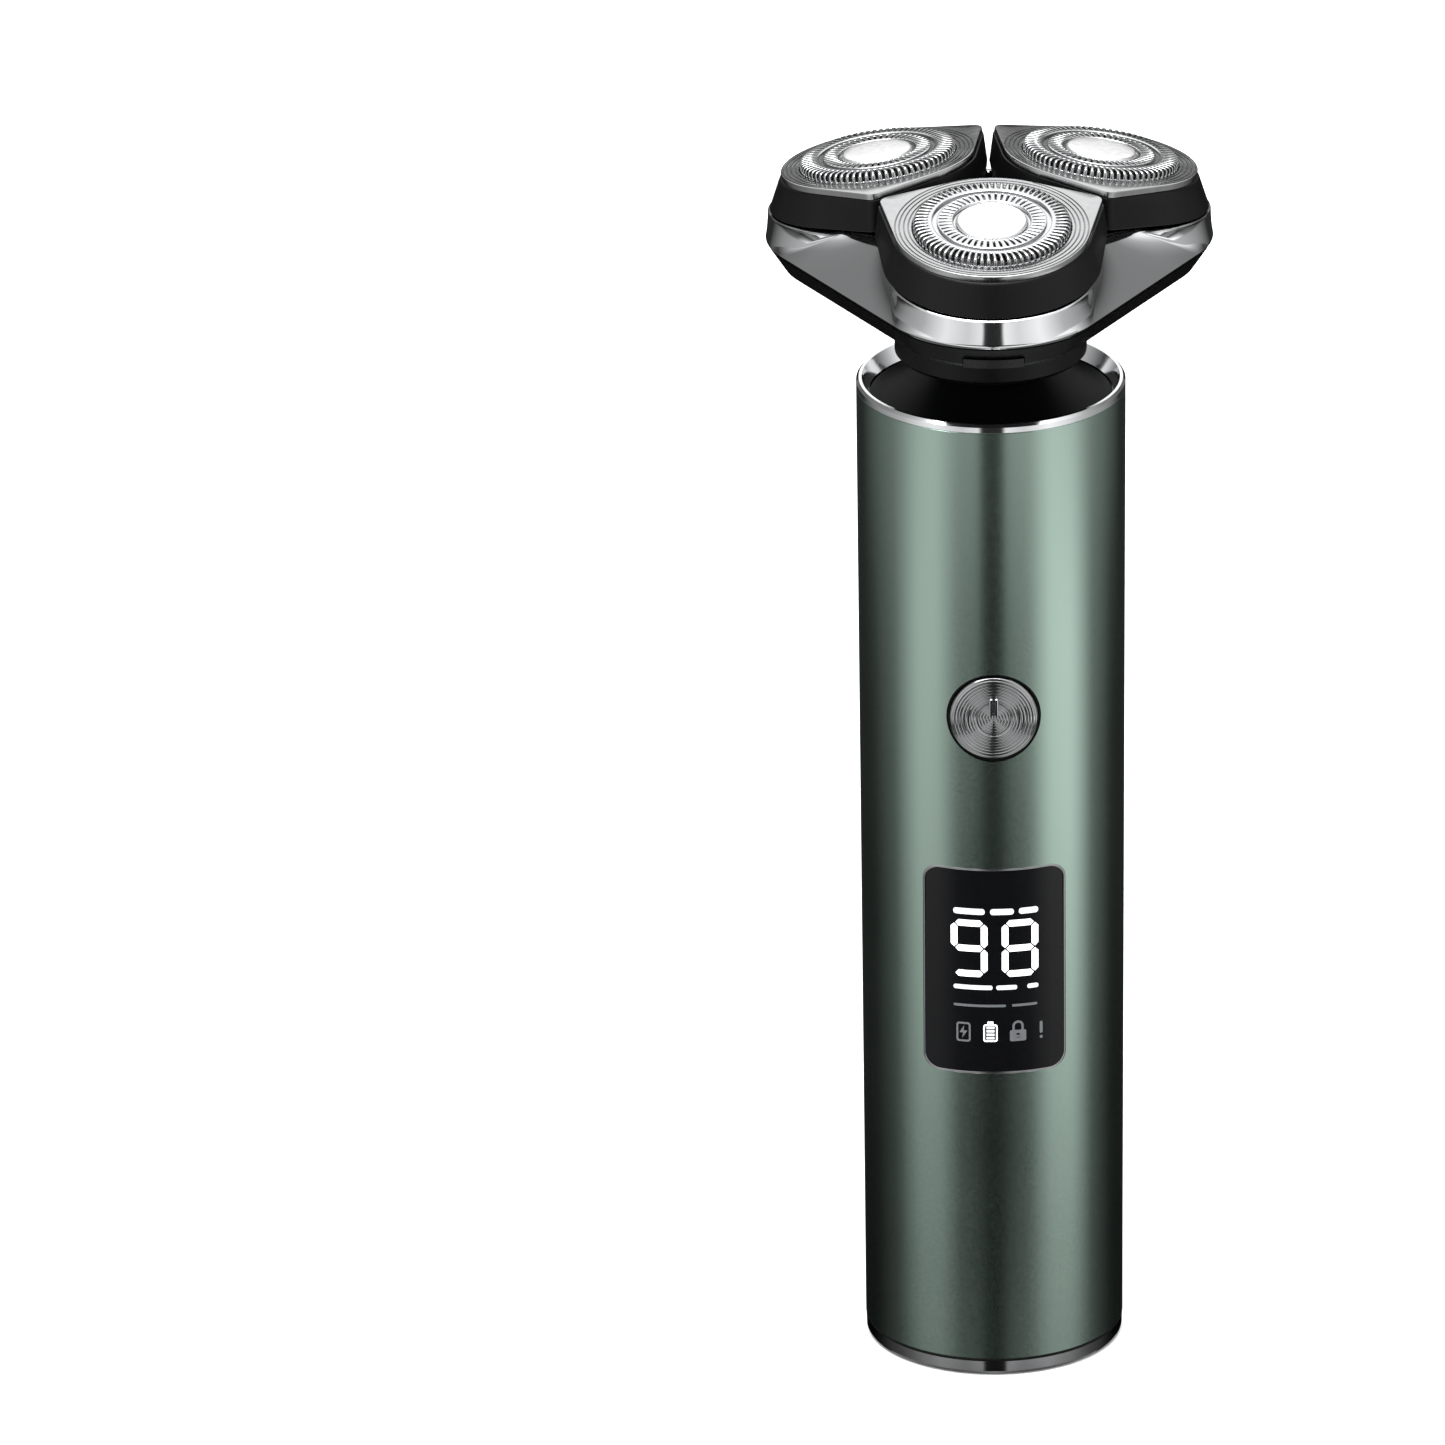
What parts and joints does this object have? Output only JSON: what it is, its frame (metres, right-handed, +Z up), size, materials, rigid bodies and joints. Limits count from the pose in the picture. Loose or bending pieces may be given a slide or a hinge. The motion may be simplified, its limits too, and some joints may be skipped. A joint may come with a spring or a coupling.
{
  "type": "rotary electric shaver",
  "caption": "Cordless rotary shaver: slim round metal handle with power button and display, gimballed head with floating spinning cutter pods.",
  "frame": {"origin": "centre of the flat underside of the handle", "axes": "+Z up the handle towards the shaving head; -Y is the front with the button and the display; +X to the right seen from the front"},
  "size_m": [0.0596, 0.0557, 0.1684],
  "materials": {
    "body_green": "satin metallic sage green",
    "bright_chrome": "polished plating",
    "satin_black": "fine satin moulding",
    "release_black": "semi-gloss",
    "seal_rubber": "matte",
    "plate_steel": "circular brushed gunmetal",
    "foil_steel": "fine ground",
    "blade_steel": "ground",
    "spun_chrome": "spun dark plating",
    "display_glass": "polished",
    "display_back": "gloss",
    "plain_steel": "bright",
    "socket_black": "moulded",
    "chassis_grey": "moulded",
    "battery_wrap": "shrink film",
    "board_green": "solder mask",
    "chip_black": "moulded",
    "rotor_iron": "laminated",
    "coupling_brass": "turned",
    "gear_nylon": "moulded"
  },
  "bodies": {
    "handle": {"body_tube": "body_green", "top_collar": "bright_chrome", "neck_plinth": "satin_black", "collar_seal": "seal_rubber", "base_cap": "satin_black", "base_ring": "bright_chrome", "base_seal": "seal_rubber", "base_screws": "plain_steel", "charging_socket": "plain_steel", "socket_tongue": "socket_black", "inner_chassis": "chassis_grey", "battery_cell": "battery_wrap", "circuit_board": "board_green", "board_parts": "chip_black", "display_lens": "display_glass", "display_panel": "display_back", "display_gasket": "seal_rubber", "button_bezel": "satin_black", "button_switch": "chip_black", "motor_can": "plain_steel", "motor_end_bell": "socket_black", "motor_screws": "plain_steel"},
    "button": {"power_button": "spun_chrome"},
    "rotor": {"motor_rotor": "rotor_iron", "drive_coupling": "coupling_brass"},
    "gimbal": {"gimbal_ring": "gear_nylon", "gimbal_pins": "plain_steel"},
    "head_housing": {"head_base": "satin_black", "gear_cover": "chassis_grey", "base_gasket": "seal_rubber", "head_screws": "plain_steel", "latch_spring": "plain_steel"},
    "release": {"release_button": "release_black"},
    "sun": {"sun_gear": "gear_nylon"},
    "head_cup": {"head_frame": "bright_chrome", "hair_chamber": "satin_black", "pod_springs": "plain_steel", "pod_pins": "plain_steel"},
    "planet_front": {"planet_gear_front": "gear_nylon", "spindle_front": "plain_steel"},
    "pod_front": {"pod_shell_front": "satin_black", "track_plate_front": "plate_steel", "shaving_foil_front": "foil_steel", "foil_cap_front": "bright_chrome"},
    "blades_front": {"cutter_front": "blade_steel"},
    "planet_right": {"planet_gear_right": "gear_nylon", "spindle_right": "plain_steel"},
    "pod_right": {"pod_shell_right": "satin_black", "track_plate_right": "plate_steel", "shaving_foil_right": "foil_steel", "foil_cap_right": "bright_chrome"},
    "blades_right": {"cutter_right": "blade_steel"},
    "planet_left": {"planet_gear_left": "gear_nylon", "spindle_left": "plain_steel"},
    "pod_left": {"pod_shell_left": "satin_black", "track_plate_left": "plate_steel", "shaving_foil_left": "foil_steel", "foil_cap_left": "bright_chrome"},
    "blades_left": {"cutter_left": "blade_steel"}
  },
  "joints": [
    {"name": "button_press", "type": "slide", "parent": "handle", "child": "button", "axis": [0, 1, 0], "range_m": [0, 0.0006], "stiffness_N_per_m": 1500},
    {"name": "motor_spin", "type": "hinge", "parent": "handle", "child": "rotor", "pos_m": [0, 0, 0.113], "axis": [0, 0, 1], "continuous": true},
    {"name": "head_pitch", "type": "hinge", "parent": "handle", "child": "gimbal", "pos_m": [0, 0, 0.145], "axis": [1, 0, 0], "range_deg": [-8, 8], "stiffness_Nm_per_rad": 0.4},
    {"name": "head_roll", "type": "hinge", "parent": "gimbal", "child": "head_housing", "pos_m": [0, 0, 0.145], "axis": [0, 1, 0], "range_deg": [-8, 8], "stiffness_Nm_per_rad": 0.4},
    {"name": "release_press", "type": "slide", "parent": "head_housing", "child": "release", "axis": [0, 1, 0], "range_m": [0, 0.0008], "stiffness_N_per_m": 800},
    {"name": "sun_spin", "type": "hinge", "parent": "head_housing", "child": "sun", "pos_m": [0, 0, 0.1539], "axis": [0, 0, 1], "continuous": true},
    {"name": "head_lift", "type": "slide", "parent": "head_housing", "child": "head_cup", "axis": [0, 0, 1], "range_m": [0, 0.014]},
    {"name": "planet_spin_front", "type": "hinge", "parent": "head_housing", "child": "planet_front", "pos_m": [0, -0.0165, 0.1539], "axis": [0, 0, 1], "continuous": true},
    {"name": "pod_tilt_front", "type": "hinge", "parent": "head_cup", "child": "pod_front", "pos_m": [0, -0.027, 0.1598], "axis": [-1, 0, 0], "range_deg": [0, 3], "stiffness_Nm_per_rad": 0.06, "springref_deg": -8.59},
    {"name": "cutter_spin_front", "type": "hinge", "parent": "pod_front", "child": "blades_front", "pos_m": [0, -0.0171, 0.1659], "axis": [0, -0.1564, 0.9877], "continuous": true},
    {"name": "planet_spin_right", "type": "hinge", "parent": "head_housing", "child": "planet_right", "pos_m": [0.01429, 0.00825, 0.1539], "axis": [0, 0, 1], "continuous": true},
    {"name": "pod_tilt_right", "type": "hinge", "parent": "head_cup", "child": "pod_right", "pos_m": [0.02338, 0.0135, 0.1598], "axis": [0.5, -0.866, 0], "range_deg": [0, 3], "stiffness_Nm_per_rad": 0.06, "springref_deg": -8.59},
    {"name": "cutter_spin_right", "type": "hinge", "parent": "pod_right", "child": "blades_right", "pos_m": [0.01481, 0.00855, 0.1659], "axis": [0.1355, 0.0782, 0.9877], "continuous": true},
    {"name": "planet_spin_left", "type": "hinge", "parent": "head_housing", "child": "planet_left", "pos_m": [-0.01429, 0.00825, 0.1539], "axis": [0, 0, 1], "continuous": true},
    {"name": "pod_tilt_left", "type": "hinge", "parent": "head_cup", "child": "pod_left", "pos_m": [-0.02338, 0.0135, 0.1598], "axis": [0.5, 0.866, 0], "range_deg": [0, 3], "stiffness_Nm_per_rad": 0.06, "springref_deg": -8.59},
    {"name": "cutter_spin_left", "type": "hinge", "parent": "pod_left", "child": "blades_left", "pos_m": [-0.01481, 0.00855, 0.1659], "axis": [-0.1355, 0.0782, 0.9877], "continuous": true}
  ],
  "couplings": [
    {"joint": "sun_spin", "follows": "motor_spin", "ratio": 1},
    {"joint": "planet_spin_front", "follows": "motor_spin", "ratio": -0.46667},
    {"joint": "cutter_spin_front", "follows": "motor_spin", "ratio": -0.46667},
    {"joint": "planet_spin_right", "follows": "motor_spin", "ratio": -0.46667},
    {"joint": "cutter_spin_right", "follows": "motor_spin", "ratio": -0.46667},
    {"joint": "planet_spin_left", "follows": "motor_spin", "ratio": -0.46667},
    {"joint": "cutter_spin_left", "follows": "motor_spin", "ratio": -0.46667}
  ]
}
